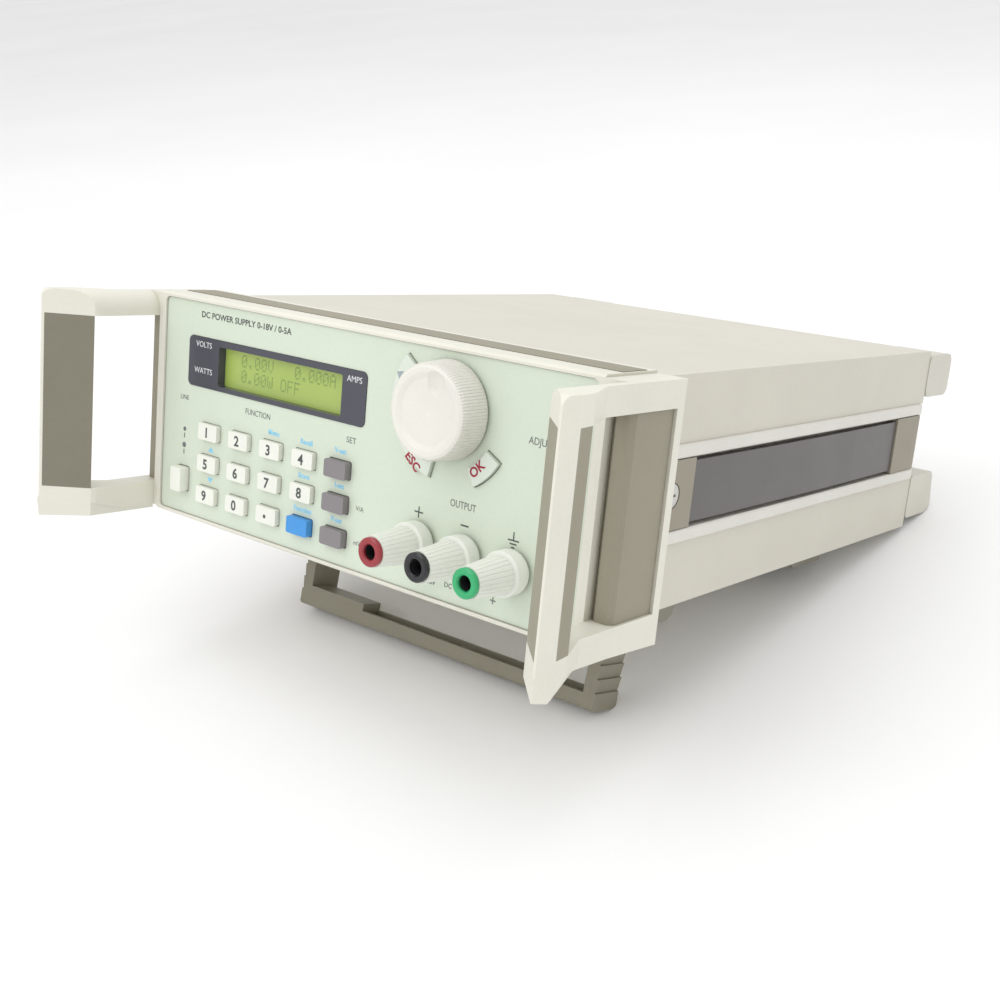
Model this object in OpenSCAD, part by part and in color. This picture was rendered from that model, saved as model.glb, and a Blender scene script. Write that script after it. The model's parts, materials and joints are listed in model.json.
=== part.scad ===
// Half-rack bench power supply, standing on its tilt bail.
// Every piece is drawn upright: x to the right, y to the back, z up,
// panel face at y = 0, underside of the front frame at z = 0.
// The finished set is then leaned back so that the bail and rear bumpers rest on z = 0.

/* [Cabinet] */
// Width of the front frame over the straight handle arms
frame_w = 216.4; // [214:0.1:219]
// Height of the front frame
frame_h = 81.6; // [81:0.1:83]
// Depth of the front frame
frame_d = 26; // [25:0.5:27]
// Width of the sheet covers
body_w = 196; // [195:0.5:197]
// How far the covers reach back from the panel face
body_back = 237; // [225:1:260]
// Sheet thickness of the covers
sheet = 1.2; // [0.8:0.1:1.6]

/* [Front panel] */
// Width of the printed front panel
panel_w = 191.6; // [190:0.1:193]
// Height of the printed front panel
panel_h = 78; // [77:0.1:78.2]
// Length of the display window
window_w = 89.2; // [86:0.2:91]
// Height of the display window
window_h = 18; // [17:0.2:19]
// Sideways spacing of the keypad
key_pitch_x = 16.4; // [16.2:0.1:16.6]
// Upward spacing of the keypad
key_pitch_z = 11.6; // [11.2:0.1:11.8]
// Width of a keypad key
key_w = 10; // [9.6:0.1:10.6]
// Height of a keypad key
key_h = 5.9; // [5.6:0.1:6.4]
// How far a key goes in
key_travel = 0.8; // [0.4:0.1:0.9]

/* [Knob and terminals] */
// Diameter of the knob at its front edge
knob_d = 29.6; // [27:0.2:30]
// How far the knob stands out from the panel
knob_out = 11.6; // [9:0.2:15]
// Spacing of the binding posts
post_pitch = 19; // [18.4:0.05:19.4]
// Bore of the safety sockets
socket_d = 4; // [3.8:0.05:4.2]
// How far a binding post stands out from the panel
post_out = 23; // [21:0.2:24]

/* [Stand] */
// Angle of the cabinet when the bail is down
stand_angle = 14.6; // [14.4:0.1:14.8]
// Forward lean of the bail when it is down
bail_lean = 8.5; // [8:0.5:9]
// Width of the bail over its arms
bail_w = 144.6; // [143:0.2:145]

// Piece to build, or all of them

/* [Hidden] */

white = [0.93, 0.92, 0.88];
taupe = [0.60, 0.57, 0.50];
sheet_grey = [0.82, 0.81, 0.78];
panel_green = [0.86, 0.91, 0.84];
slate = [0.24, 0.24, 0.28];
strap_grey = [0.36, 0.35, 0.36];
key_grey = [0.50, 0.48, 0.50];
blue = [0.28, 0.60, 0.88];
board_green = [0.10, 0.35, 0.20];
steel = [0.75, 0.75, 0.76];

// frame and handles
seam_x = 97.8;
arm_x = frame_w / 2;
arm_top = frame_h - 0.8;
grip_z0 = 10.2;
grip_z1 = 72.3;
bar_in = [100, -28.1];
nose_in = [112.9, -41.5];
nose_front = 41;
nose_out = [115, -35.9];
bar_out = [114, -28.2];
// where the white rib on the nose of the bar begins, inner and outer side
rib_in = bar_in + 0.92 * (nose_in - bar_in);
rib_out = [114.85, -34.7];
flare_y = -15;
foot_z = -0.8;
foot_tip = [112.6, -nose_front];
pillar_y0 = 1.6;
pillar_y1 = 22.4;

// panel
panel_z = frame_h / 2;
panel_t = 1.2;
window_x = -37.95;
window_z = 58.7;
view_w = 61.8;
view_h = 14;
view_x = -35.3;
view_z = 58.4;
board_y = 8;
// faces of the key switches, half a millimetre behind a fully pressed key
switch_y = 4.5 + key_travel;
key_x0 = -68.7;
key_z0 = 34.3;
key_gap = 0.25;
// how far the white keys, and the blue and grey keys, stand out
key_out = 2;
tall_out = 2.7;
knob_x = 42.3;
knob_z = 62;
shaft_r = 3;
button_x = -83.2;
button_z = 14.6;
post_x0 = 34;
post_z = 18.2;

// covers, rails and straps
cover_z0 = 4.8;
cover_z1 = 79.6;
rail_z0 = 26;
rail_z1 = 57.9;
ridge = 4.4;
rail_out = body_w / 2 + 1.2;
web_x = rail_out - 5;
strap_z0 = rail_z0 + ridge + 1.5;
strap_z1 = rail_z1 - ridge - 1.5;
cap_len = 27.5;
rail_back = body_back - 3;
rear_cap_y = rail_back - 22.6;

// rear
rear_y = body_back - 6;
bump_back = body_back + 23.7;
bump_top = 78;
bump_h = 17.6;
low_back = bump_back + 2.3;
low_z = 8.4;
low_top = 26.6;
// Forward slope in degrees of the lower bumper's rear face
low_slope = 11;
bump_r = 4;
inlet_x = 48;
inlet_z = 27;

// stand
pivot = [64.3, -1];
bail_front = 6.4;
bail_rear = 7.9;
bail_arm = 5.3;
bail_r = 2;
pin_r = 2.5;
foot_x0 = 73.2;
foot_x1 = 88;
cs = cos(stand_angle);
sn = sin(stand_angle);
// depth of the flats where the round edges meet the bench
worn = 0.3;
drop = (low_back - bump_r) * sn - (low_z + bump_r) * cs + bump_r - worn;
// length of the bail that brings its rear edge down to the bench
bail_drop = drop - pivot[0] * sn + pivot[1] * cs + worn - bail_r;
bail_tilt = stand_angle + bail_lean;
bail_len = bail_r + (bail_drop - (bail_rear - bail_r) * sin(bail_tilt)) / cos(bail_tilt);
front_most = foot_tip[1] * cs + foot_z * sn;
rear_most = (bump_back - bump_r) * cs + (bump_top - bump_r) * sn + bump_r;

// Leans a piece back onto the bail and centres the object over the origin
module stand() {
  translate([0, -(front_most + rear_most) / 2, drop])
    rotate([-stand_angle, 0, 0])
      children();
}

// Everything below the bench, in the upright pose
module below_bench() {
  rotate([stand_angle, 0, 0])
    translate([-150, -100, -drop - 30])
      cube([300, 500, 30]);
}

module box(x0, x1, y0, y1, z0, z1) {
  translate([x0, y0, z0])
    cube([x1 - x0, y1 - y0, z1 - z0]);
}

// Flat outline with round corners, centred on the origin
module round_rect(w, h, r) {
  square([w - 2 * r, h], center = true);
  square([w, h - 2 * r], center = true);
  for (sx = [-1, 1], sz = [-1, 1])
    translate([sx * (w / 2 - r), sz * (h / 2 - r)])
      circle(r = r, $fn = 24);
}

// Upright plate standing in the x-z plane from y0 back to y1
module plate(x, z, w, h, r, y0, y1) {
  translate([x, y1, z])
    rotate([90, 0, 0])
      linear_extrude(y1 - y0)
        round_rect(w, h, r);
}

// Round bar along y
module rod(x, z, r, y0, y1, fn = 32) {
  translate([x, y1, z])
    rotate([90, 0, 0])
      cylinder(r = r, h = y1 - y0, $fn = fn);
}

// Turned shape about an axis along -y; the profile is [radius, distance out]
module turned(x, z, profile, fn = 48) {
  translate([x, 0, z])
    rotate([90, 0, 0])
      rotate_extrude($fn = fn)
        polygon(profile);
}

// Shape drawn in the y-z plane and pulled along x
module side_pull(x0, x1) {
  translate([x0, 0, 0])
    rotate([90, 0, 90])
      linear_extrude(x1 - x0)
        children();
}

module mirrored(side) {
  if (side < 0) mirror([1, 0, 0]) children();
  else children();
}

// ---------- front frame, handles and trims ----------

module front_frame() {
  color(white) difference() {
    box(-seam_x, seam_x, -0.8, frame_d, 0, frame_h);
    plate(0, panel_z, panel_w + 0.4, panel_h + 0.4, 2, -2, panel_t);
    plate(0, panel_z, panel_w - 7, panel_h - 3, 2, -2, frame_d + 1);
    box(-97, 97, 9, 22, frame_h - 1.2, frame_h + 1);
    side_pull(-seam_x - 1, seam_x + 1)
      polygon([[-1, frame_h - 1], [-1, frame_h + 1], [1.2, frame_h + 1]]);
    side_pull(-seam_x - 1, seam_x + 1)
      polygon([[-1, 1], [-1, -1], [1.2, -1]]);
  }
}

// Outline of a handle seen from above
module handle_plan() {
  polygon([
    [seam_x, frame_d], [arm_x, frame_d], [arm_x, flare_y], bar_out, nose_out, nose_in,
    bar_in, [99.6, -26], [99.6, -0.8], [seam_x, -0.8]
  ]);
}

// Outline of a handle seen from the side
module handle_side() {
  r = 3;
  difference() {
    translate([-nose_front, 0])
      square([nose_front + frame_d, arm_top]);
    translate([-nose_front - 1, arm_top - r])
      square([r + 1, r + 1]);
    polygon([
      [-nose_front - 1, -1], [-nose_front - 1, 4.8], [-28, 4.8], [-15, 1.4], [0, 1.2],
      [frame_d, 0], [frame_d, -1]
    ]);
  }
  intersection() {
    translate([-nose_front + r, arm_top - r])
      circle(r = r, $fn = 64);
    translate([-nose_front, arm_top - r])
      square([r, r]);
  }
}

module grip_plan() {
  polygon([bar_in, nose_in, nose_out, bar_out]);
}

// Waste outside the round top edge on the panel side of a handle
module inner_round() {
  r = 6.5;
  translate([99.6, -0.8, arm_top])
    rotate([90, 0, 0])
      linear_extrude(45)
        difference() {
          translate([-1, -r]) square([r + 1, r + 1]);
          translate([r, -r]) circle(r = r, $fn = 64);
        }
}

// Foot under the bar, drawn out into a level lip along the panel side of the lower arm
module handle_foot() {
  hull() {
    translate([0, 0, 4.6])
      linear_extrude(1.4)
        grip_plan();
    translate([0, 0, foot_z])
      linear_extrude(0.4)
        polygon([foot_tip, [115.4, -37.6], [114.7, -35.6], [111.4, -38.4]]);
    linear_extrude(0.4)
      polygon([bar_in, [101.4, -27.4], [101, -26.4]]);
    linear_extrude(1.6)
      polygon([[99.6, -4], [101, -4], [101, -1], [99.6, -1]]);
  }
}

module handle(side) {
  color(white) mirrored(side) difference() {
    union() {
      intersection() {
        linear_extrude(frame_h) handle_plan();
        side_pull(90, 120) handle_side();
      }
      handle_foot();
    }
    inner_round();
    translate([0, 0, grip_z0])
      linear_extrude(grip_z1 - grip_z0)
        polygon([
          [99.4, pillar_y1], [arm_x + 1, pillar_y1], [arm_x + 1, -16], [118, -28.2],
          rib_out + (rib_out - rib_in) / 2, rib_in - (rib_out - rib_in) / 2,
          [97, -30], [97, -0.8], [99.4, -0.8]
        ]);
  }
}

module left_handle() {
  handle(-1);
}

module right_handle() {
  handle(1);
}

// Soft core of the front bar; the white rib runs down its nose
module grip(side) {
  color(taupe) mirrored(side)
    translate([0, 0, grip_z0])
      linear_extrude(grip_z1 - grip_z0)
        polygon([bar_in, rib_in, rib_out, bar_out]);
}

module left_grip() {
  grip(-1);
}

module right_grip() {
  grip(1);
}

module pillar_trim(side) {
  color(taupe) mirrored(side)
    translate([0, 0, grip_z0])
      linear_extrude(grip_z1 - grip_z0)
        polygon([
          [99.4, pillar_y1], [arm_x - 1, pillar_y1 - 0.4], [arm_x - 1, pillar_y0 + 1.6],
          [arm_x - 2.6, pillar_y0], [101.4, pillar_y0], [99.4, pillar_y0 + 2]
        ]);
}

module left_pillar_trim() {
  pillar_trim(-1);
}

module right_pillar_trim() {
  pillar_trim(1);
}

module top_trim() {
  color(taupe)
    box(-96.8, 96.8, 9.2, 21.8, frame_h - 1.2, frame_h + 0.2);
}

// ---------- front panel and what sits behind it ----------

function grid_x(i) = key_x0 + i * key_pitch_x;
function grid_z(j) = key_z0 - j * key_pitch_z;

// Centres of the fifteen rectangular keys
pads = [for (j = [0:2], i = [0:4]) [grid_x(i), grid_z(j)]];
// Cursor, ESC and OK keys: middle angle, half width in degrees, inner and outer radius
arcs = [[160, 18, 18.6, 23.3], [234, 20.5, 17.3, 22.9], [314.5, 14.5, 19.1, 24.8]];

// Centre of a curved key beside the knob
function arc_x(a) = knob_x + (a[2] + a[3]) / 2 * cos(a[0]);
function arc_z(a) = knob_z + (a[2] + a[3]) / 2 * sin(a[0]);

// Flat ring piece around the knob, between two radii and two angles
module arc_pad(mid, half, r0, r1) {
  translate([knob_x, knob_z])
    intersection() {
      difference() {
        circle(r = r1, $fn = 96);
        circle(r = r0, $fn = 96);
      }
      rotate(mid)
        polygon([[0, 0], [40, -40 * tan(half)], [40, 40 * tan(half)]]);
    }
}

module front_panel() {
  color(panel_green) difference() {
    plate(0, panel_z, panel_w, panel_h, 2, 0, panel_t);
    plate(window_x, window_z, window_w + 0.2, window_h + 0.2, 2.1, -1, 0.5);
    plate(view_x, view_z, view_w + 4, view_h + 2.4, 1, -1, panel_t + 1);
    for (p = pads)
      plate(p[0], p[1], key_w + 2 * key_gap, key_h + 2 * key_gap, 0.8, -1, panel_t + 1);
    for (a = arcs)
      translate([0, panel_t + 1, 0])
        rotate([90, 0, 0])
          linear_extrude(panel_t + 2)
            arc_pad(a[0], a[1] + 1.2, a[2] - 0.35, a[3] + 0.35);
    plate(button_x, button_z, 6.4, 9.6, 0.8, -1, panel_t + 1);
    rod(knob_x, knob_z, 4, -1, panel_t + 1);
    for (k = [0:2])
      rod(post_x0 + k * post_pitch, post_z, 4.2, -1, panel_t + 1);
  }
}

// Tinted window with a collar that reaches back to the display
module lcd_window() {
  color(slate) difference() {
    union() {
      plate(window_x, window_z, window_w, window_h, 2, -0.3, 0.5);
      plate(view_x, view_z, view_w + 3.4, view_h + 1.8, 0.8, 0.4, 2.9);
    }
    plate(view_x, view_z, view_w, view_h, 0.8, -1, 4);
  }
}

module lcd_module() {
  color([0.60, 0.70, 0.35]) union() {
    box(view_x - 35, view_x + 35, 3, 6.2, view_z - 11, view_z + 11);
    box(view_x - 40, view_x + 40, 6.2, 7.7, view_z - 16.4, view_z + 16.4);
  }
}

// Control board with one small switch behind every key and the encoder behind the knob
module front_board() {
  color(board_green) difference() {
    union() {
      box(-92, 92, board_y, board_y + 1.6, 8, 75);
      for (p = pads)
        box(p[0] - 3, p[0] + 3, switch_y, board_y, p[1] - 3, p[1] + 3);
      for (a = arcs)
        box(arc_x(a) - 2.6, arc_x(a) + 2.6, switch_y, board_y, arc_z(a) - 2.6, arc_z(a) + 2.6);
      box(button_x - 4, button_x + 4, 6.4, board_y, button_z - 5, button_z + 5);
      box(knob_x - 6, knob_x + 6, 3, board_y, knob_z - 6, knob_z + 6);
    }
    rod(knob_x, knob_z, shaft_r + 0.05, 2, board_y - 0.6);
    for (k = [0:2])
      rod(post_x0 + k * post_pitch, post_z, 6.6, board_y - 1, board_y + 3);
  }
}

// Knob with a dished face and a dimple for a fingertip
module knob() {
  r = knob_d / 2;
  color(white) difference() {
    union() {
      turned(knob_x, knob_z, [
        [0, 1], [r + 0.7, 1], [r + 0.1, knob_out - 1.6], [r - 0.4, knob_out - 0.5],
        [r - 1.4, knob_out], [r - 2.8, knob_out], [r - 4.6, knob_out - 0.8], [0, knob_out - 1.4]
      ], 96);
      rod(knob_x, knob_z, shaft_r, -1.5, board_y - 1.2);
    }
    translate([knob_x + 2.6, -knob_out - 4.7, knob_z + 8.2])
      sphere(r = 6.6, $fn = 48);
  }
}

// Push key that passes through the panel with a wider flange behind it
module key(x, z, out, tint) {
  color(tint) union() {
    plate(x, z, key_w, key_h, 0.8, -out, 1.7);
    plate(x, z, key_w + 1.6, key_h + 1.6, 0.8, 1.6, 2.8);
    rod(x, z, 1.6, 2.7, 4.0, 16);
  }
}

module pad_key(i, j, out, tint) {
  key(grid_x(i), grid_z(j), out, tint);
}

module key_1() {
  pad_key(0, 0, key_out, white);
}

module key_2() {
  pad_key(1, 0, key_out, white);
}

module key_3() {
  pad_key(2, 0, key_out, white);
}

module key_4() {
  pad_key(3, 0, key_out, white);
}

module key_5() {
  pad_key(0, 1, key_out, white);
}

module key_6() {
  pad_key(1, 1, key_out, white);
}

module key_7() {
  pad_key(2, 1, key_out, white);
}

module key_8() {
  pad_key(3, 1, key_out, white);
}

module key_9() {
  pad_key(0, 2, key_out, white);
}

module key_0() {
  pad_key(1, 2, key_out, white);
}

module key_point() {
  pad_key(2, 2, key_out, white);
}

module key_shift() {
  pad_key(3, 2, tall_out, blue);
}

module key_set_upper() {
  pad_key(4, 0, tall_out, key_grey);
}

module key_set_middle() {
  pad_key(4, 1, tall_out, key_grey);
}

module key_set_lower() {
  pad_key(4, 2, tall_out, key_grey);
}

// Curved key beside the knob
module arc_key(a) {
  color(white) union() {
    translate([0, 1.7, 0])
      rotate([90, 0, 0])
        linear_extrude(3.1)
          arc_pad(a[0], a[1], a[2], a[3]);
    translate([0, 2.8, 0])
      rotate([90, 0, 0])
        linear_extrude(1.2)
          arc_pad(a[0], a[1] + 2, a[2] - 0.8, a[3] + 0.8);
    rod(arc_x(a), arc_z(a), 1.6, 2.7, 4.0, 16);
  }
}

module key_cursor() {
  arc_key(arcs[0]);
}

module key_esc() {
  arc_key(arcs[1]);
}

module key_ok() {
  arc_key(arcs[2]);
}

module power_button() {
  color(white) union() {
    plate(button_x, button_z, 5.6, 8.8, 0.6, -4, 1.7);
    plate(button_x, button_z, 7, 10.2, 0.6, 1.6, 2.8);
    rod(button_x, button_z, 1.6, 2.7, 4.0, 16);
  }
}

// ---------- binding posts ----------

function post_x(k) = post_x0 + k * post_pitch;

// Metal core with the safety socket and a cross hole for bare wire
module post_studs() {
  color(steel) for (k = [0:2])
    difference() {
      union() {
        rod(post_x(k), post_z, 2.9, -post_out + 7.2, 18);
        rod(post_x(k), post_z, 3.9, -0.4, 1.4);
        rod(post_x(k), post_z, 6.2, panel_t, 4.4, 6);
      }
      rod(post_x(k), post_z, socket_d / 2, -post_out, 2);
      translate([post_x(k), -3.4, post_z])
        cylinder(r = 0.9, h = 8, center = true, $fn = 16);
    }
}

// Coloured insulating ring in the nose of a cap, with a sleeve down to the metal core
module post_ring(k, tint) {
  color(tint)
    turned(post_x(k), post_z, [
      [2.4, post_out - 6.8], [3.12, post_out - 6.8], [3.12, post_out - 1.6], [4.6, post_out - 1.6],
      [4.6, post_out - 0.4], [4.1, post_out], [2.8, post_out], [2.4, post_out - 0.5]
    ], 40);
}

// White clamping cap: smooth collar, tapered grip with fine grooves
module post_cap(k) {
  nose = post_out - 1.7;
  color(white) difference() {
    turned(post_x(k), post_z, [
      [3.2, 1.2], [6.9, 1.2], [7.1, 1.8], [7.1, 6.2], [6.8, 6.6], [6.2, 6.8],
      [4.9, nose], [3.2, nose]
    ], 48);
    for (a = [0:23])
      translate([post_x(k), 0, post_z])
        rotate([0, a * 15, 0])
          translate([6.3, -7.4, 0])
            rotate([90, 0, 0])
              rotate([0, -5.1, 0])
                cylinder(r = 0.34, h = post_out, $fn = 6);
  }
}

module red_ring() {
  post_ring(0, [0.75, 0.25, 0.28]);
}

module red_cap() {
  post_cap(0);
}

module black_ring() {
  post_ring(1, [0.15, 0.15, 0.16]);
}

module black_cap() {
  post_cap(1);
}

module green_ring() {
  post_ring(2, [0.20, 0.70, 0.42]);
}

module green_cap() {
  post_cap(2);
}

// ---------- covers, rails and side straps ----------

// Sheet folded into a U; up is 1 for the top cover and -1 for the bottom cover
module cover(z_flat, z_edge, up) {
  h = body_w / 2;
  flat0 = up > 0 ? z_flat - sheet : z_flat;
  color(sheet_grey) union() {
    box(-h, h, frame_d, body_back, flat0, flat0 + sheet);
    for (s = [-1, 1])
      box(s > 0 ? h - sheet : -h, s > 0 ? h : sheet - h, frame_d, body_back,
          min(z_flat, z_edge), max(z_flat, z_edge));
  }
}

module top_cover() {
  cover(cover_z1, rail_z1, 1);
}

module bottom_cover() {
  cover(cover_z0, rail_z0, -1);
}

// Side extrusion: two ridges with a channel for the strap between them
module rail(side) {
  color(white) mirrored(side)
    translate([0, frame_d, 0])
      rotate([90, 0, 0]) mirror([0, 0, 1])
        linear_extrude(rail_back - frame_d)
          polygon([
            [web_x - 1.6, rail_z0], [rail_out - 0.6, rail_z0], [rail_out, rail_z0 + 0.6],
            [rail_out, rail_z0 + ridge - 0.5], [rail_out - 0.5, rail_z0 + ridge],
            [web_x, rail_z0 + ridge], [web_x, rail_z1 - ridge],
            [rail_out - 0.5, rail_z1 - ridge], [rail_out, rail_z1 - ridge + 0.5],
            [rail_out, rail_z1 - 0.6], [rail_out - 0.6, rail_z1], [web_x - 1.6, rail_z1]
          ]);
}

module left_rail() {
  rail(-1);
}

module right_rail() {
  rail(1);
}

// Bowed carrying strap held at both ends by the caps
module strap(side) {
  y0 = frame_d + cap_len + 1;
  y1 = rear_cap_y - 0.3;
  n = 12;
  bow = [for (i = [0:n]) [1.6 + 0.7 * sin(180 * i / n), y0 + (y1 - y0) * i / n]];
  color(strap_grey) mirrored(side)
    translate([0, 0, strap_z0])
      linear_extrude(strap_z1 - strap_z0)
        polygon(concat(
          [for (p = bow) [web_x + p[0], p[1]]],
          [for (i = [n:-1:0]) [web_x + bow[i][0] + 2.4, bow[i][1]]]
        ));
}

module left_strap() {
  strap(-1);
}

module right_strap() {
  strap(1);
}

module strap_cap(side, y0, y1, hole) {
  color(taupe) mirrored(side) difference() {
    box(web_x, rail_out - 0.3, y0, y1, rail_z0 + ridge + 0.3, rail_z1 - ridge - 0.3);
    if (hole)
      translate([rail_out - 1.5, (y0 + y1) / 2 + 1.6, (rail_z0 + rail_z1) / 2])
        rotate([0, 90, 0])
          cylinder(r = 4.2, h = 4, $fn = 32);
  }
}

module left_front_cap() {
  strap_cap(-1, frame_d + 0.2, frame_d + cap_len, true);
}

module right_front_cap() {
  strap_cap(1, frame_d + 0.2, frame_d + cap_len, true);
}

module left_rear_cap() {
  strap_cap(-1, rear_cap_y, rail_back, false);
}

module right_rear_cap() {
  strap_cap(1, rear_cap_y, rail_back, false);
}

// Cross-head screws that hold the front caps
module strap_screws() {
  color(steel) for (s = [-1, 1])
    mirrored(s)
      translate([rail_out - 1.5, frame_d + cap_len / 2 + 1.7, (rail_z0 + rail_z1) / 2])
        rotate([0, 90, 0])
          difference() {
            cylinder(r = 3.9, h = 1, $fn = 32);
            for (a = [0, 90])
              rotate(a)
                translate([-2.2, -0.4, 0.3])
                  cube([4.4, 0.8, 2]);
          }
}

// ---------- rear ----------

module rear_panel() {
  color(sheet_grey) difference() {
    union() {
      box(-92.3, 92.3, rear_y, rear_y + 1.6, 6.4, 78);
      box(-96, 96, rear_y, rear_y + 1.6, 6.4, rail_z0 - 0.3);
      box(-96, 96, rear_y, rear_y + 1.6, rail_z1 + 0.3, 78);
    }
    box(inlet_x - 14.2, inlet_x + 14.2, rear_y - 1, rear_y + 3, inlet_z - 10.4, inlet_z + 10.4);
    for (i = [0:8])
      plate(-46, 24 + i * 5, 60, 2.2, 1, rear_y - 1, rear_y + 3);
  }
}

// Outline of the lower bumper seen from the side; the object rests on its round corner
module low_outline() {
  c = [low_back - bump_r, low_z + bump_r];
  polygon([
    [body_back, low_z + 1.4], [body_back + 1.4, low_z], [c[0], low_z],
    c + bump_r * [cos(low_slope), sin(low_slope)], [bump_back, low_top - 1.8],
    [bump_back - 1.8, low_top], [body_back + 1.4, low_top], [body_back, low_top - 1.4]
  ]);
  translate(c)
    circle(r = bump_r, $fn = 48);
}

// Corner feet behind the rear panel, joined by a web
module rear_bumper(side) {
  color(white) mirrored(side) union() {
    side_pull(76, 98.4)
      translate([(body_back + bump_back) / 2, bump_top - bump_h / 2])
        round_rect(bump_back - body_back, bump_h, bump_r);
    difference() {
      side_pull(76, 98.4)
        low_outline();
      below_bench();
    }
    box(77, 92.2, rear_y + 1.6, body_back + 5, 10, 25.6);
    box(77, 92.2, rear_y + 1.6, body_back + 5, 61.4, 76.6);
    box(86, 92.2, rear_y + 1.6, body_back - 0.6, 20, 70);
  }
}

module left_rear_bumper() {
  rear_bumper(-1);
}

module right_rear_bumper() {
  rear_bumper(1);
}

// Appliance inlet for a detachable mains lead
module mains_inlet() {
  color(slate) union() {
    difference() {
      union() {
        plate(inlet_x, inlet_z, 48, 26, 3, rear_y + 1.6, rear_y + 4.2);
        box(inlet_x - 13.8, inlet_x + 13.8, rear_y - 20, rear_y + 2, inlet_z - 10, inlet_z + 10);
      }
      box(inlet_x - 12.2, inlet_x + 12.2, rear_y - 14, rear_y + 6, inlet_z - 8.2, inlet_z + 8.2);
      for (s = [-1, 1])
        rod(inlet_x + s * 20, inlet_z, 1.7, rear_y, rear_y + 6, 20);
    }
    for (k = [-1, 0, 1])
      box(inlet_x + k * 7 - 1, inlet_x + k * 7 + 1, rear_y - 15, rear_y - 4,
          inlet_z + (k == 0 ? 1 : -3), inlet_z + (k == 0 ? 5 : 1));
  }
}

// Main board with the mains transformer and the finned heatsink on it
module power_board() {
  color(board_green) union() {
    box(-88, 88, 40, 205, 12, 13.6);
    for (sx = [-1, 1], y = [48, 197])
      translate([sx * 80, y, cover_z0 + sheet])
        cylinder(r = 3, h = 12 - cover_z0 - sheet, $fn = 24);
    box(-80, -24, 60, 120, 13.6, 64);
    box(-70, -34, 52, 128, 22, 56);
    box(20, 84, 150, 154, 13.6, 66);
    for (i = [0:7])
      box(22 + i * 8, 24 + i * 8, 154, 190, 16, 66);
    for (i = [0:2])
      translate([0 + i * 24, 80, 13.6])
        cylinder(r = 9, h = 34, $fn = 32);
  }
}

// ---------- underside ----------

module front_foot(side) {
  color(taupe) mirrored(side) difference() {
    side_pull(foot_x0, foot_x1)
      polygon([[46, cover_z0], [48, -4], [50, -6], [66, -6], [69, -4.4], [70.4, -1], [70.4, cover_z0]]);
    translate([foot_x0 - 1, pivot[0], pivot[1]])
      rotate([0, 90, 0])
        cylinder(r = pin_r + 0.05, h = 9, $fn = 32);
  }
}

module left_front_foot() {
  front_foot(-1);
}

module right_front_foot() {
  front_foot(1);
}

module rear_foot(side) {
  color(taupe) mirrored(side)
    side_pull(foot_x0 - 3, foot_x1 - 3)
      polygon([[160, cover_z0], [162, -3], [164, -5], [186, -5], [188, -3], [190, cover_z0]]);
}

module left_rear_foot() {
  rear_foot(-1);
}

module right_rear_foot() {
  rear_foot(1);
}

// One arm of the bail with its pivot eye, drawn in the y-z plane
module arm_outline() {
  f = bail_front;
  b = bail_rear;
  circle(r = 5.2, $fn = 32);
  polygon([
    [-5.2, 0], [-f, -9], [-f, -bail_len + 1], [-f + 1, -bail_len],
    [b - bail_r, -bail_len], [b, -bail_len + bail_r], [b, -22], [6, -9], [5.2, 0]
  ]);
  translate([b - bail_r, -bail_len + bail_r])
    circle(r = bail_r, $fn = 24);
}

// Bail hanging straight down from its pins
module bail_raw() {
  h = bail_w / 2;
  b = bail_front;
  low = -bail_len;
  difference() {
    union() {
      for (s = [-1, 1])
        mirrored(s) {
          side_pull(h - bail_arm, h)
            arm_outline();
          translate([h - 1, 0, 0])
            rotate([0, 90, 0])
              cylinder(r = pin_r, h = 8.4, $fn = 32);
        }
      // crossbar: a trough open at the top
      side_pull(-h + bail_arm - 1, h - bail_arm + 1)
        polygon([
          [-b, low + 1], [-b + 1, low], [3.4, low], [3.4, low + 5.6], [2, low + 5.6],
          [2, low + 1.6], [-b + 1.6, low + 1.6], [-b + 1.6, low + 5.6], [-b, low + 5.6]
        ]);
      box(-h + bail_arm, -h + 34, -b, 3.4, low + 1, low + 8.4);
    }
    // finger steps on the outer sides of the arms
    for (s = [-1, 1], k = [0:2])
      mirrored(s)
        translate([0, 10, -24.6 - 5 * k])
          rotate([90, 0, 0])
            linear_extrude(20)
              polygon([[h, 4.6], [h - 0.7, 0], [h + 1, 0], [h + 1, 4.6]]);
  }
}

module tilt_bail() {
  color(taupe) difference() {
    translate([0, pivot[0], pivot[1]])
      rotate([-bail_lean, 0, 0])
        bail_raw();
    below_bench();
  }
}

// ---------- build ----------

stand() {
  front_frame();
  left_handle();
  right_handle();
  left_grip();
  right_grip();
  left_pillar_trim();
  right_pillar_trim();
  top_trim();
  front_panel();
  lcd_window();
  lcd_module();
  front_board();
  top_cover();
  bottom_cover();
  left_rail();
  right_rail();
  left_strap();
  right_strap();
  left_front_cap();
  left_rear_cap();
  right_front_cap();
  right_rear_cap();
  strap_screws();
  rear_panel();
  left_rear_bumper();
  right_rear_bumper();
  left_front_foot();
  right_front_foot();
  left_rear_foot();
  right_rear_foot();
  tilt_bail();
  knob();
  key_1();
  key_2();
  key_3();
  key_4();
  key_5();
  key_6();
  key_7();
  key_8();
  key_9();
  key_0();
  key_point();
  key_shift();
  key_set_upper();
  key_set_middle();
  key_set_lower();
  key_cursor();
  key_esc();
  key_ok();
  power_button();
  red_ring();
  red_cap();
  black_ring();
  black_cap();
  green_ring();
  green_cap();
  post_studs();
  power_board();
  mains_inlet();
}
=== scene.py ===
import bpy, bmesh, json
from math import sin, cos, pi, radians, degrees, atan2
from mathutils import Matrix, Vector


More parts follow.
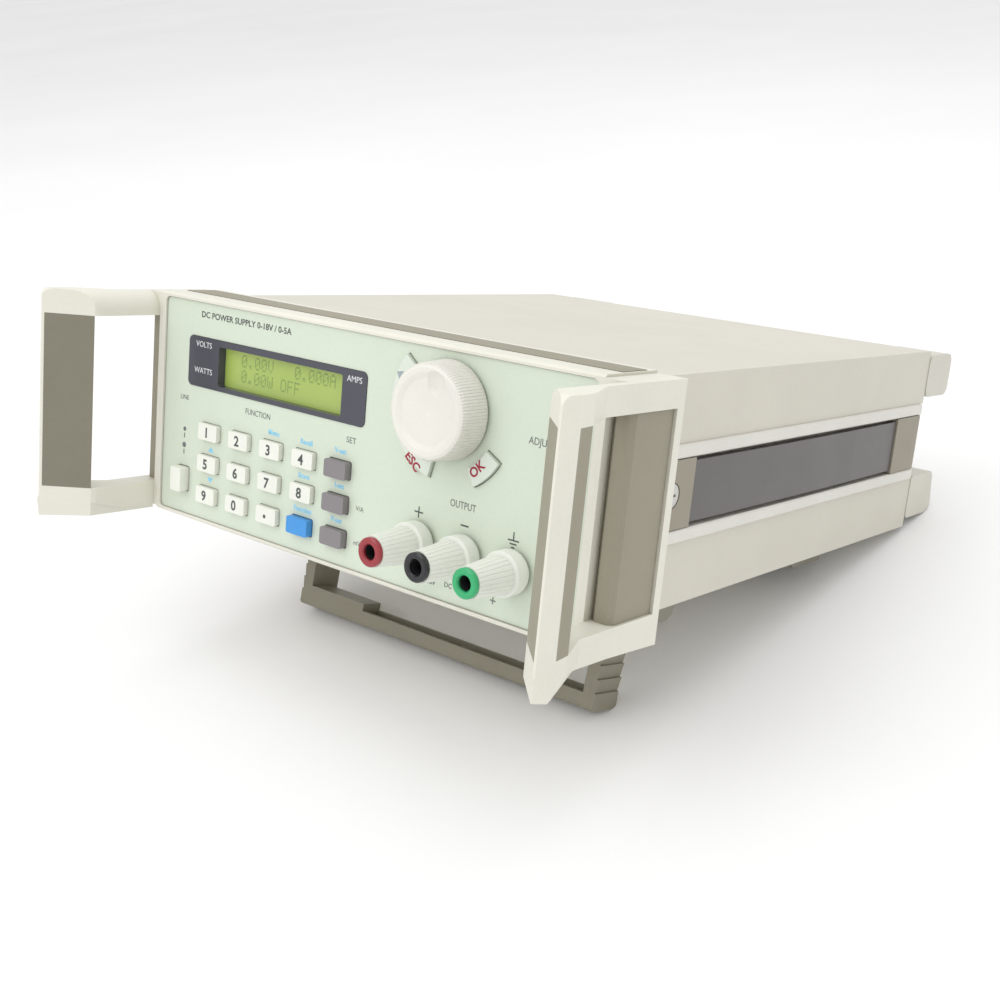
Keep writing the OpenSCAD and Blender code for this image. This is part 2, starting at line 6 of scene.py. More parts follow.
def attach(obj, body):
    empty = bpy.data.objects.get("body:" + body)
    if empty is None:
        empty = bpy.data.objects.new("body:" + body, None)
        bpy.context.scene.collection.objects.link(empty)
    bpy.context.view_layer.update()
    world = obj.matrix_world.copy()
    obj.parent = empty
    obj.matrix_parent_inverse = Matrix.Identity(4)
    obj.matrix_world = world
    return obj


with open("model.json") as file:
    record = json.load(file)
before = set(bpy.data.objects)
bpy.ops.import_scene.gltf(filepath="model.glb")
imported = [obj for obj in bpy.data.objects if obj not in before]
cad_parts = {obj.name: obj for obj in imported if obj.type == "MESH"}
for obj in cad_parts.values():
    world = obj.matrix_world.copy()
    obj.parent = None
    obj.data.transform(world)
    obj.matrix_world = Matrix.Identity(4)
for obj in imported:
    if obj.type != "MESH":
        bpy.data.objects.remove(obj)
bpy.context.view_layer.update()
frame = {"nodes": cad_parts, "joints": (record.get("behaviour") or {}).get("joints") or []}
NODES = frame["nodes"]
MM = 0.001

# ---------------------------------------------------------------- the leaned frame
# Pieces are placed in the cabinet's own upright frame, in millimetres: x right, y back,
# z up, panel face at y = 0.  The knob's joint gives the lean and the place.
knob = next(j for j in frame["joints"] if j["name"] == "knob_turn")
KNOB_X, KNOB_Z = 42.3, 62.0
out = Vector(knob["axis"]).normalized()
LEAN = atan2(out.z, -out.y)
TILT = Matrix.Rotation(-LEAN, 4, "X")
SHIFT = Vector(knob["pos_m"]) - (TILT @ Vector((KNOB_X, 0, KNOB_Z))) * MM
STAND = Matrix.Translation(SHIFT) @ TILT @ Matrix.Scale(MM, 4)


def at(x, y, z):
    return STAND @ Vector((x, y, z))


# ---------------------------------------------------------------- materials
def nodes_of(name):
    m = bpy.data.materials.new(name)
    m.use_nodes = True
    nt = m.node_tree
    nt.nodes.clear()
    o = nt.nodes.new("ShaderNodeOutputMaterial")
    b = nt.nodes.new("ShaderNodeBsdfPrincipled")
    nt.links.new(b.outputs[0], o.inputs[0])
    return m, nt, b


def add(nt, kind, **v):
    n = nt.nodes.new(kind)
    for k, val in v.items():
        if hasattr(n, k):
            setattr(n, k, val)
        else:
            n.inputs[k.replace("_", " ")].default_value = val
    return n


def ramp(nt, fac, stops):
    r = nt.nodes.new("ShaderNodeValToRGB")
    e = r.color_ramp.elements
    while len(e) < len(stops):
        e.new(0.5)
    for i, (p, c) in enumerate(stops):
        e[i].position = p
        e[i].color = (*c, 1) if len(c) == 3 else c
    nt.links.new(fac, r.inputs[0])
    return r.outputs[0]


def mixed(nt, fac, a, b, mode="MIX"):
    n = nt.nodes.new("ShaderNodeMix")
    n.data_type = "RGBA"
    n.blend_type = mode
    for sock, v in ((n.inputs[0], fac), (n.inputs[6], a), (n.inputs[7], b)):
        if isinstance(v, bpy.types.NodeSocket):
            nt.links.new(v, sock)
        elif isinstance(v, (int, float)):
            sock.default_value = v
        else:
            sock.default_value = (*v, 1)
    return n.outputs[2]


def coords(nt):
    return add(nt, "ShaderNodeTexCoord").outputs["Object"]


def noise(nt, scale, detail=3.0, rough=0.5, stretch=None):
    n = add(nt, "ShaderNodeTexNoise", Scale=scale, Detail=detail, Roughness=rough)
    src = coords(nt)
    if stretch:
        mp = nt.nodes.new("ShaderNodeMapping")
        mp.inputs["Scale"].default_value = stretch
        nt.links.new(src, mp.inputs[0])
        src = mp.outputs[0]
    nt.links.new(src, n.inputs["Vector"])
    return n.outputs["Fac"]


def moulded(name, color, rough=0.45, grain=2600.0, bump=0.06, edge=0.10, corner_shade=0.06, tone=0.05,
            spec=0.5, sub=0.0, stretch=None):
    """Moulded plastic, rubber or paint: cloudy tone, fine grain, rubbed edges, painted shade in
    corners.
    """
    m, nt, b = nodes_of(name)
    big = noise(nt, 14.0, 3.0, 0.6)
    darker = [c * (1 - tone) for c in color]
    paler = [min(1, c * (1 + tone * 0.7)) for c in color]
    col = ramp(nt, big, [(0.3, darker), (0.7, paler)])
    speck = noise(nt, 900.0, 2.0, 0.6)
    fine = ramp(nt, speck, [(0.25, (0.975, 0.975, 0.972)), (0.6, (1, 1, 1))])
    col = mixed(nt, 1.0, col, fine, "MULTIPLY")
    geo = nt.nodes.new("ShaderNodeNewGeometry")
    worn = ramp(nt, geo.outputs["Pointiness"], [(0.50, (0, 0, 0)), (0.56, (1, 1, 1))])
    breakup = ramp(nt, noise(nt, 60.0, 4.0, 0.65), [(0.42, (0, 0, 0)), (0.62, (edge, edge, edge))])
    wear = mixed(nt, 1.0, worn, breakup, "MULTIPLY")
    light = [min(1.0, c * 1.12 + 0.03) for c in color]
    col = mixed(nt, wear, col, light)
    # painted shade: ambient occlusion darkens the colour in corners, creases and recesses
    ao = nt.nodes.new("ShaderNodeAmbientOcclusion")
    ao.inputs["Distance"].default_value = 0.004
    ao.samples = 4
    corner_shade_tint = (1 - corner_shade * 3, 1 - corner_shade * 3.2, 1 - corner_shade * 3.6)
    shade = ramp(nt, ao.outputs["AO"], [(0.35, corner_shade_tint), (0.9, (1, 1, 1))])
    col = mixed(nt, 1.0, col, shade, "MULTIPLY")
    nt.links.new(col, b.inputs["Base Color"])
    rr = ramp(nt, noise(nt, 35.0, 4.0, 0.6), [(0.3, (rough - 0.05,) * 3), (0.7, (rough + 0.07,) * 3)])
    nt.links.new(rr, b.inputs["Roughness"])
    b.inputs["Specular IOR Level"].default_value = spec
    if sub:
        b.inputs["Subsurface Weight"].default_value = sub
        b.inputs["Subsurface Radius"].default_value = (0.6, 0.5, 0.4)
        b.inputs["Subsurface Scale"].default_value = 0.0015
    bp = add(nt, "ShaderNodeBump", Strength=bump, Distance=0.0004)
    nt.links.new(noise(nt, grain, 2.0, 0.5, stretch), bp.inputs["Height"])
    nt.links.new(bp.outputs[0], b.inputs["Normal"])
    return m


def ink(name, color, rough=0.5, vary=0.08):
    """Printed ink with a slightly uneven tone."""
    m, nt, b = nodes_of(name)
    darker = [v * (1 - vary) for v in color]
    paler = [min(1, v * (1 + vary)) for v in color]
    c = ramp(nt, noise(nt, 500.0, 2.0), [(0.3, darker), (0.7, paler)])
    nt.links.new(c, b.inputs["Base Color"])
    r = ramp(nt, noise(nt, 900.0, 2.0), [(0.3, (rough - 0.06,) * 3), (0.7, (rough + 0.06,) * 3)])
    nt.links.new(r, b.inputs["Roughness"])
    return m


def metal(name, color, rough=0.28, stretch=(1, 1, 1), grain=1400.0, bump=0.05):
    """Bright plated or turned metal with fine drawing marks."""
    m, nt, b = nodes_of(name)
    b.inputs["Metallic"].default_value = 1.0
    c = ramp(nt, noise(nt, grain, 3.0, 0.6, stretch), [(0.3, [v * 0.86 for v in color]), (0.7, color)])
    nt.links.new(c, b.inputs["Base Color"])
    marks = noise(nt, grain * 0.6, 3.0, 0.6, stretch)
    r = ramp(nt, marks, [(0.3, (rough - 0.08,) * 3), (0.7, (rough + 0.1,) * 3)])
    nt.links.new(r, b.inputs["Roughness"])
    bp = add(nt, "ShaderNodeBump", Strength=bump, Distance=0.0002)
    nt.links.new(noise(nt, grain, 2.0, 0.5, stretch), bp.inputs["Height"])
    nt.links.new(bp.outputs[0], b.inputs["Normal"])
    return m


M = {
    "white": moulded("frame_white", (0.745, 0.73, 0.64), 0.42, sub=0.05),
    "taupe": moulded("taupe_soft", (0.315, 0.292, 0.222), 0.60, 1800, 0.10, spec=0.35),
    # painted shade: a darker copy of the taupe for the left grip, which sits in shade
    "taupe_grip_painted_shade": moulded("taupe_painted_shade", (0.222, 0.207, 0.157), 0.62, 1800, 0.10, spec=0.30),
    "taupe_cap": moulded("taupe_cap", (0.315, 0.285, 0.222), 0.50, 2000, 0.10),
    "taupe_hard": moulded("taupe_moulded", (0.25, 0.23, 0.172), 0.48, 2000, 0.10),
    "panel": moulded("panel_film", (0.655, 0.725, 0.605), 0.33, 3200, 0.03, 0.02, 0.03, 0.015),
    "window": moulded("window_tint", (0.070, 0.072, 0.090), 0.22, 3000, 0.02, 0.02, 0.02, 0.04),
    "cover": moulded("cover_paint", (0.64, 0.612, 0.532), 0.50, 1500, 0.16, 0.05, 0.04, 0.03),
    "rail": moulded("rail_plastic", (0.72, 0.705, 0.655), 0.45, stretch=(1, 0.08, 1)),
    "strap": moulded("strap_rubber", (0.115, 0.105, 0.105), 0.34, 1600, 0.06, 0.06, 0.02, 0.06),
    "bumper": moulded("bumper_white", (0.63, 0.61, 0.535), 0.45),
    "foot": moulded("foot_rubber", (0.25, 0.235, 0.19), 0.65, 1200, 0.16),
    "knob": moulded("knob_white", (0.78, 0.765, 0.70), 0.40, sub=0.05),
    "key_white": moulded("key_white", (0.82, 0.83, 0.76), 0.38, 3000, 0.03, sub=0.04),
    "key_panel": moulded("key_panel", (0.70, 0.755, 0.675), 0.36, 3000, 0.03, sub=0.03),
    "key_grey": moulded("key_grey", (0.235, 0.215, 0.225), 0.42, 3000, 0.05),
    "key_blue": moulded("key_blue", (0.05, 0.30, 0.72), 0.36, 3000, 0.03),
    "cap": moulded("cap_white", (0.80, 0.82, 0.76), 0.40, 2600, 0.04, sub=0.04),
    "red": moulded("ring_red", (0.33, 0.035, 0.045), 0.25, 2600, 0.03, 0.03),
    "black": moulded("ring_black", (0.018, 0.018, 0.021), 0.25, 2600, 0.03, 0.03),
    "green": moulded("ring_green", (0.035, 0.42, 0.16), 0.25, 2600, 0.03, 0.03),
    "board": moulded("board_green", (0.03, 0.14, 0.06), 0.35, 2600, 0.05),
    "dark": moulded("black_plastic", (0.03, 0.03, 0.032), 0.42, 2200, 0.08),
    "seam": moulded("seam_shadow", (0.36, 0.36, 0.32), 0.8, 2200, 0.08),
    # painted shadow: the dark strip at the bumpers' lower rear corners
    "rubber": moulded("bumper_painted_shadow", (0.05, 0.048, 0.045), 0.7, 2200, 0.10),
    "steel": metal("screw_steel", (0.62, 0.61, 0.58), 0.30),
    "brass": metal("stud_plating", (0.66, 0.60, 0.46), 0.25),
    "ink_dark": ink("print_dark", (0.075, 0.085, 0.085)),
    "ink_soft": ink("print_soft", (0.16, 0.17, 0.17)),
    "ink_pale": ink("print_pale", (0.72, 0.74, 0.76)),
    "ink_cyan": ink("print_cyan", (0.25, 0.62, 0.86)),
    "ink_dark_red": ink("print_red", (0.33, 0.015, 0.04)),
    "ink_grey": ink("print_grey", (0.36, 0.42, 0.44)),
}


def lcd_material():
    m, nt, b = nodes_of("lcd_glass")
    c = ramp(nt, noise(nt, 9.0, 2.0), [(0.3, (0.31, 0.405, 0.085)), (0.7, (0.36, 0.45, 0.115))])
    nt.links.new(c, b.inputs["Base Color"])
    b.inputs["Coat Weight"].default_value = 0.4
    b.inputs["Emission Color"].default_value = (0.42, 0.58, 0.14, 1)
    b.inputs["Emission Strength"].default_value = 0.18
    r = ramp(nt, noise(nt, 240.0, 2.0), [(0.3, (0.16,) * 3), (0.7, (0.24,) * 3)])
    nt.links.new(r, b.inputs["Roughness"])
    return m


M["lcd"] = lcd_material()


def rib_knob(count=96, inner=0.0140, outer=0.0146):
    """Adds fine ribs round the side of the knob to its material."""
    nt = M["knob"].node_tree
    centre = Vector(knob["pos_m"])
    place = nt.nodes.new("ShaderNodeMapping")
    place.inputs["Rotation"].default_value = (LEAN, 0, 0)
    place.inputs["Location"].default_value = -(Matrix.Rotation(LEAN, 3, "X") @ centre)
    nt.links.new(coords(nt), place.inputs[0])
    axes = nt.nodes.new("ShaderNodeSeparateXYZ")
    nt.links.new(place.outputs[0], axes.inputs[0])

    def sums(op, a, b=0.0, clamp=False):
        n = nt.nodes.new("ShaderNodeMath")
        n.operation = op
        n.use_clamp = clamp
        for sock, v in zip(n.inputs, (a, b)):
            if isinstance(v, bpy.types.NodeSocket):
                nt.links.new(v, sock)
            else:
                sock.default_value = v
        return n.outputs[0]

    x, z = axes.outputs[0], axes.outputs[2]
    wave = sums("SINE", sums("MULTIPLY", sums("ARCTAN2", z, x), count))
    radius = sums("SQRT", sums("ADD", sums("MULTIPLY", x, x), sums("MULTIPLY", z, z)))
    side = sums("DIVIDE", sums("SUBTRACT", radius, inner), outer - inner, True)
    ribs = add(nt, "ShaderNodeBump", Strength=0.55, Distance=0.0003)
    nt.links.new(sums("MULTIPLY", wave, side), ribs.inputs["Height"])
    shader = next(n for n in nt.nodes if n.type == "BSDF_PRINCIPLED")
    grain = shader.inputs["Normal"].links[0].from_node
    nt.links.new(ribs.outputs[0], grain.inputs["Normal"])


rib_knob()

USE = {
    "front_frame": "white", "left_handle": "white", "right_handle": "white",
    # the left grip takes the darker copy of the taupe, painted shade
    "left_grip": "taupe_grip_painted_shade", "right_grip": "taupe", "left_pillar_trim": "taupe",
    "right_pillar_trim": "taupe",
    "top_trim": "taupe", "front_panel": "panel", "lcd_window": "window", "lcd_module": "lcd",
    "front_board": "board", "top_cover": "cover", "bottom_cover": "cover", "left_rail": "rail",
    "right_rail": "rail", "left_strap": "strap", "right_strap": "strap", "strap_screws": "steel",
    "rear_panel": "cover", "left_rear_bumper": "bumper", "right_rear_bumper": "bumper",
    "tilt_bail": "taupe_hard", "knob": "knob", "key_shift": "key_blue", "key_esc": "key_panel",
    "key_ok": "key_panel", "key_cursor": "key_panel", "power_button": "key_white",
    "post_studs": "brass", "power_board": "board", "mains_inlet": "dark",
}
for n in NODES:
    if n.endswith("_foot"):
        USE[n] = "foot"
    elif n.endswith("_front_cap") or n.endswith("_rear_cap"):
        USE[n] = "taupe_cap"
    elif n.startswith("key_set"):
        USE[n] = "key_grey"
    elif n.endswith("_cap"):
        USE[n] = "cap"
    elif n.endswith("_ring"):
        USE[n] = n.split("_")[0]
    elif n.startswith("key_") and n not in USE:
        USE[n] = "key_white"


def paint(o, m):
    o.data.materials.clear()
    o.data.materials.append(M[m])


def soften(o, w, angle=35, seg=3):
    """Rounds the sharp edges of a piece by w metres."""
    b = o.modifiers.new("round", "BEVEL")
    b.width = w
    b.segments = seg
    b.limit_method = "ANGLE"
    b.angle_limit = radians(angle)
    b.harden_normals = False
    b.use_clamp_overlap = True
    n = o.modifiers.new("normals", "WEIGHTED_NORMAL")
    n.keep_sharp = False
    n.weight = 80


# edge radius of each piece in millimetres; the round turned pieces keep their own edges
KEY_ROUND, FOOT_ROUND, STRAP_CAP_ROUND = 0.45, 0.5, 0.35
ROUND = {
    "front_frame": 0.8, "left_handle": 0.7, "right_handle": 0.7, "left_grip": 0.5, "right_grip": 0.5,
    "left_pillar_trim": 0.6, "right_pillar_trim": 0.6, "top_trim": 0.3, "front_panel": 0.15,
    "lcd_window": 0.15, "top_cover": 0.5, "bottom_cover": 0.5, "left_rail": 0.3, "right_rail": 0.3,
    "left_strap": 0.5, "right_strap": 0.5, "rear_panel": 0.3, "left_rear_bumper": 1.2,
    "right_rear_bumper": 1.2, "tilt_bail": 0.45, "power_button": 0.5, "mains_inlet": 0.4,
    "strap_screws": 0.15, "power_board": 0.2,
}
for name, o in NODES.items():
    paint(o, USE[name])
    w = ROUND.get(name)
    if w is None and name.startswith("key"):
        w = KEY_ROUND
    elif w is None and name.endswith("_foot"):
        w = FOOT_ROUND
    elif w is None and name.endswith("_cap") and name.split("_")[0] in ("left", "right"):
        w = STRAP_CAP_ROUND
    if w:
        soften(o, w * MM)

# ---------------------------------------------------------------- printed lettering
PRINT_Y = -0.03          # middle of the ink on the panel
WINDOW_PRINT_Y = -0.33   # on the display window, which stands 0.3 mm proud
KEY_PRINT_Y = -2.02      # on the white keys
CURVED_PRINT_Y = -1.42   # on the three curved keys


def lettering(name, text, x, z, size, mat, body="chassis", y=PRINT_Y, spin=0.0, align="CENTER",
              thick=0.05, bold=0.0, wide=1.0):
    """Raised text as a mesh, facing forward at x, z; size, bold and thick in millimetres."""
    c = bpy.data.curves.new(name, "FONT")
    c.body = text
    c.size = size
    c.align_x = align
    c.align_y = "CENTER"
    c.extrude = thick / 2
    c.offset = bold
    c.resolution_u = 3
    o = bpy.data.objects.new(name, c)
    bpy.context.scene.collection.objects.link(o)
    bpy.context.view_layer.update()
    dg = bpy.context.evaluated_depsgraph_get()
    me = bpy.data.meshes.new_from_object(o.evaluated_get(dg))
    bpy.data.objects.remove(o)
    me.transform(Matrix.Scale(wide, 4, (1, 0, 0)))
    turn = Matrix.Rotation(radians(90), 4, "X") @ Matrix.Rotation(radians(spin), 4, "Z")
    me.transform(STAND @ Matrix.Translation((x, y, z)) @ turn)
    p = bpy.data.objects.new(name, me)
    bpy.context.scene.collection.objects.link(p)
    paint(p, mat)
    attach(p, body)
    return p


def shape(name, pts, mat, body="chassis", y=PRINT_Y, thick=0.05):
    """Flat printed mark from outlines in x and z."""
    bm = bmesh.new()
    for poly in pts:
        vs = [bm.verts.new(at(px, y - thick / 2, pz)) for px, pz in poly]
        f = bm.faces.new(vs)
        r = bmesh.ops.extrude_face_region(bm, geom=[f])
        d = (at(0, thick, 0) - at(0, 0, 0))
        raised = [v for v in r["geom"] if isinstance(v, bmesh.types.BMVert)]
        bmesh.ops.translate(bm, vec=d, verts=raised)
    bmesh.ops.recalc_face_normals(bm, faces=bm.faces)
    me = bpy.data.meshes.new(name)
    bm.to_mesh(me)
    bm.free()
    o = bpy.data.objects.new(name, me)
    bpy.context.scene.collection.objects.link(o)
    paint(o, mat)
    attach(o, body)
    return o


def bar(x0, z0, x1, z1, w):
    """Outline of a straight stroke of width w."""
    d = Vector((x1 - x0, z1 - z0))
    n = Vector((-d.y, d.x)).normalized() * w / 2
    return [(x0 + n.x, z0 + n.y), (x0 - n.x, z0 - n.y), (x1 - n.x, z1 - n.y), (x1 + n.x, z1 + n.y)]


def disc(x, z, r, n=20):
    """Outline of a dot."""
    return [(x + r * cos(2 * pi * i / n), z + r * sin(2 * pi * i / n)) for i in range(n)]


# name, text, x, z, size, ink, alignment, boldness, width factor
PRINT = [
    ("title", "DC POWER SUPPLY 0-18V / 0-5A", -76.8, 75.6, 3.0, "ink_dark", "LEFT", 0.045, 1.09),
    ("line_label", "LINE", -84.4, 44.5, 2.4, "ink_soft", "CENTER", 0, 1),
    ("function_label", "FUNCTION", -44.6, 45.1, 2.9, "ink_soft", "CENTER", 0, 0.88),
    ("set_label", "SET", 1.2, 44.5, 2.9, "ink_soft", "CENTER", 0, 1),
    ("va_label", "V/A", 5.3, 22.7, 2.3, "ink_soft", "LEFT", 0, 1),
    ("mva_label", "mV/mA", 5.3, 11.05, 2.3, "ink_soft", "LEFT", 0, 1),
    ("output_label", "OUTPUT", 50.5, 33.5, 3.3, "ink_soft", "CENTER", 0, 0.8),
    ("adjust_label", "ADJUST", 73.1, 58.4, 3.2, "ink_soft", "LEFT", 0, 0.88),
    ("menu_label", "Menu", -35.9, 40.1, 2.5, "ink_cyan", "CENTER", 0.07, 1),
    ("recall_label", "Recall", -19.6, 39.9, 2.5, "ink_cyan", "CENTER", 0.07, 1),
    ("store_label", "Store", -20.0, 28.2, 2.5, "ink_cyan", "CENTER", 0.07, 1),
    ("shift_label", "Function", -19.6, 16.6, 2.5, "ink_cyan", "CENTER", 0.07, 1),
    ("vset_label", "V-set", -3.4, 40.2, 2.5, "ink_cyan", "CENTER", 0.07, 1),
    ("iset_label", "I-set", -2.9, 28.5, 2.5, "ink_cyan", "CENTER", 0.07, 1),
    ("pset_label", "P-set", -3.3, 16.7, 2.5, "ink_cyan", "CENTER", 0.07, 1),
    ("volt_mark", "18V", 40.2, 6.5, 2.3, "ink_soft", "CENTER", 0.02, 1),
    ("dc_mark", "DC", 47.3, 7.1, 2.3, "ink_soft", "CENTER", 0.02, 1),
]
for name, text, x, z, size, tint, align, bold, wide in PRINT:
    lettering(name, text, x, z, size, tint, align=align, bold=bold, wide=wide)
WINDOW_PRINT = [
    ("volts_label", "VOLTS", -74.4, 65.0), ("watts_label", "WATTS", -74.3, 55.6),
    ("amps_label", "AMPS", 1.2, 64.6),
]
for name, text, x, z in WINDOW_PRINT:
    lettering(name, text, x, z, 2.9, "ink_pale", y=WINDOW_PRINT_Y)

# plus, minus, earth and on/off marks, and the two cursor triangles
shape("plus_mark", [bar(31.0, 27.6, 34.6, 27.6, 0.45), bar(32.8, 25.8, 32.8, 27.35, 0.45),
                    bar(32.8, 27.85, 32.8, 29.4, 0.45)], "ink_dark")
shape("minus_mark", [bar(50.2, 27.5, 53.4, 27.5, 0.5)], "ink_dark")
shape("earth_mark", [bar(71, 27.6, 71, 30.0, 0.42), bar(68.9, 27.4, 73.1, 27.4, 0.42),
                     bar(69.7, 26.3, 72.3, 26.3, 0.42), bar(70.4, 25.2, 71.6, 25.2, 0.42)],
      "ink_dark")
shape("small_minus", [bar(59.2, 7.0, 61.4, 7.0, 0.4)], "ink_soft")
shape("small_plus", [bar(64.3, 7.1, 66.5, 7.1, 0.4), bar(65.4, 7.35, 65.4, 8.2, 0.4),
                     bar(65.4, 6.0, 65.4, 6.85, 0.4)], "ink_soft")
shape("up_mark", [[(-70.0, 27.0), (-67.0, 27.0), (-68.5, 28.9)]], "ink_cyan")
shape("down_mark", [[(-69.9, 17.6), (-68.4, 15.7), (-66.9, 17.6)]], "ink_cyan")
shape("on_mark", [disc(-83.7, 32.9, 0.8), bar(-83.7, 29.6, -83.7, 31.4, 0.5)], "ink_soft")
shape("off_mark", [disc(-83.7, 27.0, 1.0), bar(-83.7, 23.6, -83.7, 25.4, 0.5)], "ink_soft")

# key legends: the digits fill a grid of four columns from the top left
DIGIT_X, DIGIT_Z = -69.2, 34.0
PITCH_X, PITCH_Z = 16.4, 11.6
for k, digit in enumerate("1234567890"):
    x = DIGIT_X + PITCH_X * (k % 4)
    z = DIGIT_Z - PITCH_Z * (k // 4)
    lettering("digit_" + digit, digit, x, z, 5.0, "ink_dark", "key_" + digit + "_body",
              y=KEY_PRINT_Y, bold=0.13)
shape("digit_point", [disc(-36.4, 10.7, 0.68)], "ink_dark", "key_point_body", y=KEY_PRINT_Y)

lettering("esc_legend", "ESC", 29.7, 43.3, 4.2, "ink_dark_red", "key_esc_body",
          y=CURVED_PRINT_Y, spin=-41, bold=0.12)
lettering("ok_legend", "OK", 55.8, 46.1, 4.2, "ink_dark_red", "key_ok_body",
          y=CURVED_PRINT_Y, spin=46, bold=0.12)
shape("cursor_legend", [[(20.4, 70.4), (21.4, 68.3), (23.3, 70.9)]], "ink_grey", "key_cursor_body",
      y=CURVED_PRINT_Y)


# ---------------------------------------------------------------- LCD characters, 5 x 7 dots
FONT = {
    "0": "01110 10001 10011 10101 11001 10001 01110", "1": "00100 01100 00100 00100 00100 00100 01110",
    "5": "11111 10000 11110 00001 00001 10001 01110", "V": "10001 10001 10001 10001 10001 01010 00100",
    "A": "01110 10001 10001 11111 10001 10001 10001", "W": "10001 10001 10001 10101 10101 10101 01010",
    "O": "01110 10001 10001 10001 10001 10001 01110", "F": "11111 10000 10000 11110 10000 10000 10000",
    ".": "00000 00000 00000 00000 00000 01100 01100", " ": "00000 00000 00000 00000 00000 00000 00000",
}


def lcd_text():
    """The display's two rows of characters, a square for each dot, just before the glass."""
    bm = bmesh.new()
    y = 2.97
    left, top = -64.4, 63.3
    pitch_x, pitch_z = 3.4, 5.35
    wide, high = 0.50, 0.56
    step_x, step_z = 0.56, 0.625
    for row, text in enumerate(("  0.00V   0.000A", "  0.00W OFF     ")):
        for i, ch in enumerate(text):
            for r, line in enumerate(FONT[ch].split()):
                for c, v in enumerate(line):
                    if v == "1":
                        xa = left + i * pitch_x + c * step_x
                        za = top - row * pitch_z - r * step_z
                        vs = [bm.verts.new(at(xa + dx, y, za + dz)) for dx, dz in
                              ((0, 0), (wide, 0), (wide, high), (0, high))]
                        bm.faces.new(vs)
    me = bpy.data.meshes.new("lcd_characters")
    bm.to_mesh(me)
    bm.free()
    o = bpy.data.objects.new("lcd_characters", me)
    bpy.context.scene.collection.objects.link(o)
    M["lcd_ink"] = ink("lcd_ink", (0.265, 0.365, 0.105), 0.3)
    paint(o, "lcd_ink")
    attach(o, "chassis")


lcd_text()

# ---------------------------------------------------------------- seams and painted shadow strips at the bumpers
def corner_line(w, h, r, n=6):
    """Closed outline of a rectangle with round corners, in x and z about the origin."""
    pts = []
    for k in range(4):
        cx = (w / 2 - r) * (1 if k in (0, 3) else -1)
        cz = (h / 2 - r) * (1 if k < 2 else -1)
        for i in range(n + 1):
            a = pi / 2 * (k + i / n)
            pts.append((cx + r * cos(a), cz + r * sin(a)))
    return pts


def rim(name, x, z, w, h, r, wide, y, mat):
    """Thin printed or shadow line round a rectangle."""
    bm = bmesh.new()
    outer = [bm.verts.new(at(x + px, y, z + pz)) for px, pz in corner_line(w, h, r)]
    inner = [bm.verts.new(at(x + px, y, z + pz))
             for px, pz in corner_line(w - 2 * wide, h - 2 * wide, r - wide)]
    for i in range(len(outer)):
        j = (i + 1) % len(outer)
        bm.faces.new((outer[i], outer[j], inner[j], inner[i]))
    me = bpy.data.meshes.new(name)
    bm.to_mesh(me)
    bm.free()
    o = bpy.data.objects.new(name, me)
    bpy.context.scene.collection.objects.link(o)
    paint(o, mat)
    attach(o, "chassis")
    return o


rim("panel_seam", 0, 40.8, 192.0, 78.4, 2.1, 0.22, -0.04, "seam")


def bumper_edge(name, side):
    """Dark strip round the lower rear corner, next to the floor: painted shadow where the bumper meets
    the floor.
    """
    y, z, r, t = 259.0, 12.4, 4.0, 0.28
    x0, x1 = 77.0, 97.8
    lean = degrees(LEAN)
    angles = [radians(lean - 58 + 76 * i / 14) for i in range(15)]
    bm = bmesh.new()
    rows = []
    for a in angles:
        row = []
        for x, rr in ((x0, r - 0.1), (x0, r + t), (x1, r + t), (x1, r - 0.1)):
            row.append(bm.verts.new(at(side * x, y + rr * cos(a), z + rr * sin(a))))
        rows.append(row)
    for a, b in zip(rows, rows[1:]):
        for i in range(4):
            j = (i + 1) % 4
            bm.faces.new((a[i], a[j], b[j], b[i]))
    bm.faces.new(rows[0])
    bm.faces.new(rows[-1])
    bmesh.ops.recalc_face_normals(bm, faces=bm.faces)
    me = bpy.data.meshes.new(name)
    bm.to_mesh(me)
    bm.free()
    o = bpy.data.objects.new(name, me)
    bpy.context.scene.collection.objects.link(o)
    # painted shadow: dark material on the strip next to the floor
    paint(o, "rubber")
    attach(o, "chassis")


bumper_edge("right_bumper_edge", 1)
bumper_edge("left_bumper_edge", -1)

def ring_liner(color, x, z=18.2, radius=2.35, front=-21.8, back=-16.3, n=28):
    """Dark insulating sleeve just inside the socket of a binding post ring."""
    bm = bmesh.new()
    loops = []
    for y in (back, front):
        loops.append([bm.verts.new(at(px, y, pz)) for px, pz in disc(x, z, radius, n)])
    for i in range(n):
        j = (i + 1) % n
        bm.faces.new((loops[0][i], loops[0][j], loops[1][j], loops[1][i]))
    me = bpy.data.meshes.new(color + "_socket_liner")
    bm.to_mesh(me)
    bm.free()
    o = bpy.data.objects.new(color + "_socket_liner", me)
    bpy.context.scene.collection.objects.link(o)
    paint(o, "dark")
    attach(o, color + "_ring_body")


for liner_color, liner_x in (("red", 34.0), ("black", 53.0), ("green", 72.0)):
    ring_liner(liner_color, liner_x)

# ---------------------------------------------------------------- stage, lights and camera
def plane(name, size, z, mat):
    bm = bmesh.new()
    bmesh.ops.create_grid(bm, x_segments=1, y_segments=1, size=size)
    me = bpy.data.meshes.new(name)
    bm.to_mesh(me)
    bm.free()
    o = bpy.data.objects.new(name, me)
    bpy.context.scene.collection.objects.link(o)
    o.location.z = z
    o.data.materials.append(mat)
    return o


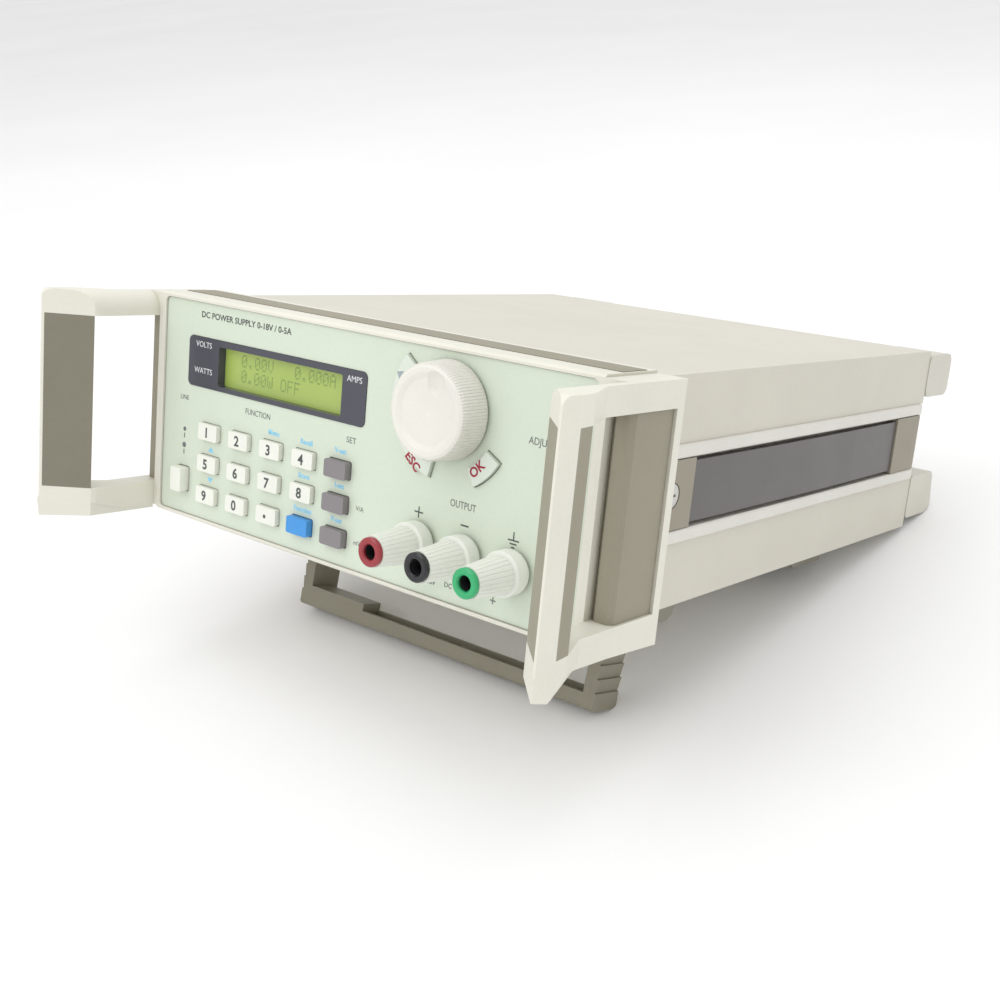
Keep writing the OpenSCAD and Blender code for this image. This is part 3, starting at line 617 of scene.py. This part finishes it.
fm, nt, b = nodes_of("floor_pale")
pale = ramp(nt, noise(nt, 3.0), [(0.3, (0.90, 0.90, 0.90)), (0.7, (0.93, 0.93, 0.93))])
nt.links.new(pale, b.inputs["Base Color"])
b.inputs["Roughness"].default_value = 0.9
FLOOR_SIZE, FLOOR_Z = 6.0, -0.0002
plane("floor", FLOOR_SIZE, FLOOR_Z, fm)

w = bpy.data.worlds.new("studio")
bpy.context.scene.world = w
w.use_nodes = True
bg = w.node_tree.nodes["Background"]
bg.inputs[0].default_value = (1.0, 1.0, 1.0, 1)
bg.inputs[1].default_value = 0.86


AIM = Vector((0, 0, 0.05))


def softbox(name, loc, size, power):
    """Square area light of side size, aimed at the middle of the object."""
    lamp = bpy.data.lights.new(name, "AREA")
    lamp.shape = "RECTANGLE"
    lamp.size = size
    lamp.size_y = size
    lamp.energy = power
    o = bpy.data.objects.new(name, lamp)
    bpy.context.scene.collection.objects.link(o)
    o.location = loc
    o.rotation_euler = (AIM - Vector(loc)).to_track_quat("-Z", "Y").to_euler()


softbox("key_light", (-0.5, -1.2, 1.4), 1.2, 8.5)
softbox("fill_light", (1.3, -0.5, 0.6), 1.0, 0.6)
softbox("top_light", (0.1, 0.3, 1.6), 1.6, 7)

# camera: stated in the cabinet's upright frame, then leaned with it
CAM = Vector((303.76, -308.9, 129.27))
LENS_MM, SENSOR_MM = 48.31668, 36
right = Vector((0.774, 0.6265, 0.0918))
down = Vector((0.2125, -0.1205, -0.9697))
fwd = Vector((-0.5964, 0.7701, -0.2264))
turn = TILT.to_3x3()
r3, u3, b3 = turn @ right, turn @ -down, turn @ -fwd
cam = bpy.data.cameras.new("camera")
cam.lens = LENS_MM
cam.sensor_width = SENSOR_MM
cam.clip_start = 0.01
co = bpy.data.objects.new("camera", cam)
bpy.context.scene.collection.objects.link(co)
pos = at(*CAM)
co.matrix_world = Matrix((
    (r3.x, u3.x, b3.x, pos.x),
    (r3.y, u3.y, b3.y, pos.y),
    (r3.z, u3.z, b3.z, pos.z),
    (0, 0, 0, 1),
))
bpy.context.scene.camera = co
bpy.context.scene.view_settings.view_transform = "Standard"
